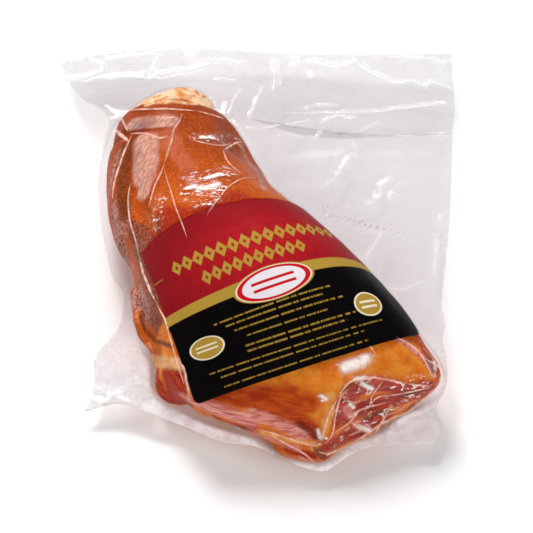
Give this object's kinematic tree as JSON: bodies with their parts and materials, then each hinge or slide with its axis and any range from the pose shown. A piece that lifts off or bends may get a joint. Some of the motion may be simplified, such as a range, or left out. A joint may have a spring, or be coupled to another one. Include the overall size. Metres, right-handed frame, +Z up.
{
  "type": "vacuum-packed smoked pork knuckle",
  "caption": "Smoked pork knuckle in a clear vacuum bag, lying with its paper label up; bone end at +Y, sawn butt at -Y.",
  "frame": {"origin": "on the surface the pack lies on, under the middle of the bag's outline", "axes": "+Z up through the labelled side, +Y towards the bone end and the bag's straight sealed edge, +X to the right seen from the butt end"},
  "size_m": [0.1736, 0.2134, 0.065],
  "materials": {
    "meat": "smoked pork rind, amber brown, wet and glossy under the film, with orange fat and dark red lean at the butt",
    "film": "clear thin polyethylene and polyamide film, glossy and creased",
    "label": "printed paper under a thin gloss coat: crimson above, near-black maroon below, a gold band between"
  },
  "bodies": {
    "root": {"knuckle": "meat", "vacuum_bag": "film", "label": "label"}
  },
  "joints": []
}
